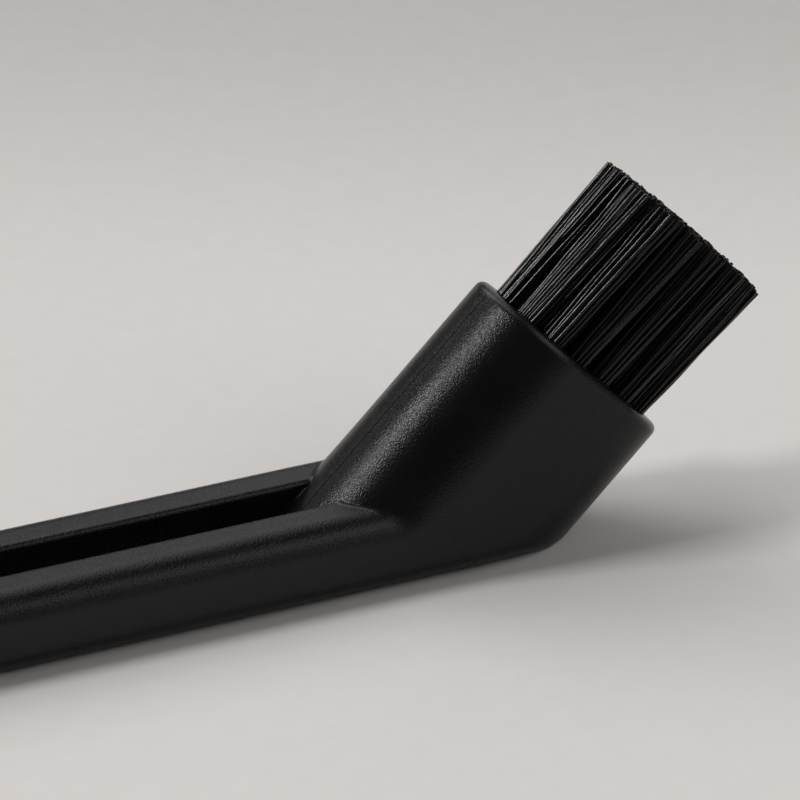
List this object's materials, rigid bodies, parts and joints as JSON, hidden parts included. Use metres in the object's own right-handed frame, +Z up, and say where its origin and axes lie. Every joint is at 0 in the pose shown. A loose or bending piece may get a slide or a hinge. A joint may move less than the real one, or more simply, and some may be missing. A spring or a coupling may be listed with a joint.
{
  "type": "group head brush",
  "caption": "Coffee machine cleaning brush: slotted black moulded handle, angled oval head and stiff bristle tufts.",
  "frame": {"origin": "middle of the footprint box, on the surface that the brush lies on", "axes": "+X along the handle towards the head, +Y across the handle, +Z up from the flat underside"},
  "size_m": [0.198, 0.022, 0.0507],
  "materials": {
    "handle_plastic": "fine spark-eroded matte black",
    "bristle_nylon": "satin black monofilament",
    "anchor_wire": "plain flat wire"
  },
  "bodies": {
    "root": {"handle": "handle_plastic", "tuft_1_01": "bristle_nylon", "tuft_1_02": "bristle_nylon", "tuft_1_03": "bristle_nylon", "tuft_1_04": "bristle_nylon", "tuft_1_05": "bristle_nylon", "tuft_1_06": "bristle_nylon", "tuft_1_07": "bristle_nylon", "tuft_1_08": "bristle_nylon", "tuft_1_09": "bristle_nylon", "tuft_1_10": "bristle_nylon", "tuft_1_11": "bristle_nylon", "tuft_1_12": "bristle_nylon", "tuft_1_13": "bristle_nylon", "tuft_1_14": "bristle_nylon", "anchor_1_01": "anchor_wire", "anchor_1_02": "anchor_wire", "anchor_1_03": "anchor_wire", "anchor_1_04": "anchor_wire", "anchor_1_05": "anchor_wire", "anchor_1_06": "anchor_wire", "anchor_1_07": "anchor_wire", "anchor_1_08": "anchor_wire", "anchor_1_09": "anchor_wire", "anchor_1_10": "anchor_wire", "anchor_1_11": "anchor_wire", "anchor_1_12": "anchor_wire", "anchor_1_13": "anchor_wire", "anchor_1_14": "anchor_wire", "tuft_2_01": "bristle_nylon", "tuft_2_02": "bristle_nylon", "tuft_2_03": "bristle_nylon", "tuft_2_04": "bristle_nylon", "tuft_2_05": "bristle_nylon", "tuft_2_06": "bristle_nylon", "tuft_2_07": "bristle_nylon", "tuft_2_08": "bristle_nylon", "anchor_2_01": "anchor_wire", "anchor_2_02": "anchor_wire", "anchor_2_03": "anchor_wire", "anchor_2_04": "anchor_wire", "anchor_2_05": "anchor_wire", "anchor_2_06": "anchor_wire", "anchor_2_07": "anchor_wire", "anchor_2_08": "anchor_wire"}
  },
  "joints": []
}
